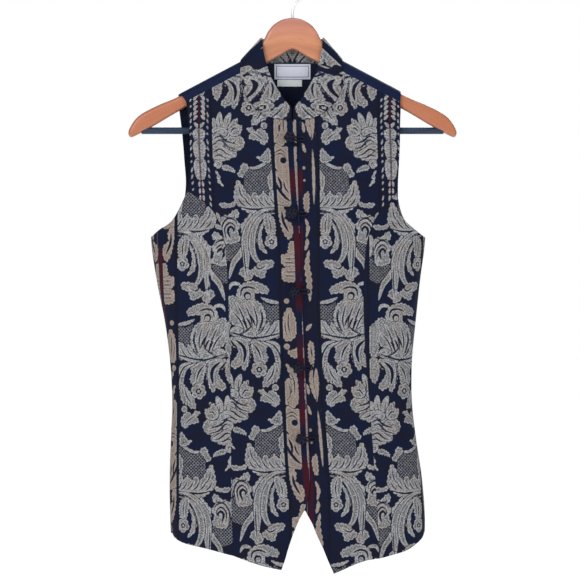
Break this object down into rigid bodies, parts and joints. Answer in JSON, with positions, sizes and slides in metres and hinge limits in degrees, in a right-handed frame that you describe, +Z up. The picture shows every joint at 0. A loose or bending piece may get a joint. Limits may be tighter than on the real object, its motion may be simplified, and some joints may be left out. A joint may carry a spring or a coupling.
{
  "type": "waistcoat on a wooden hanger",
  "caption": "Fitted sleeveless brocade waistcoat with stand collar, knotted buttons, cord loops and a cut-away front hem, on a wooden coat hanger with a bar.",
  "frame": {"origin": "the point inside the top of the hanger's hook, where a rail carries it", "axes": "+Z up, +X towards the wearer's left, -Y towards the wearer's front"},
  "size_m": [0.45, 0.0998, 0.8235],
  "materials": {
    "brocade": "matte woven brocade, navy ground with silver-beige flowers and leaves",
    "satin": "navy satin with a soft sheen",
    "label": "pale woven ribbon",
    "knot_cord": "dark navy satin cord",
    "wood": "satin lacquer, orange-brown",
    "bar": "blue-grey paint",
    "steel": "bright steel wire"
  },
  "bodies": {
    "root": {"right_front": "brocade", "right_side_front": "brocade", "left_front": "brocade", "left_side_front": "brocade", "collar": "brocade", "back": "satin", "label": "label", "size_tag": "label", "knot_button_1": "knot_cord", "knot_button_2": "knot_cord", "knot_button_3": "knot_cord", "knot_button_4": "knot_cord", "knot_button_5": "knot_cord", "button_loop_1": "knot_cord", "button_loop_2": "knot_cord", "button_loop_3": "knot_cord", "button_loop_4": "knot_cord", "button_loop_5": "knot_cord", "hanger_board": "wood", "hanger_bar": "bar", "hook": "steel"}
  },
  "joints": []
}
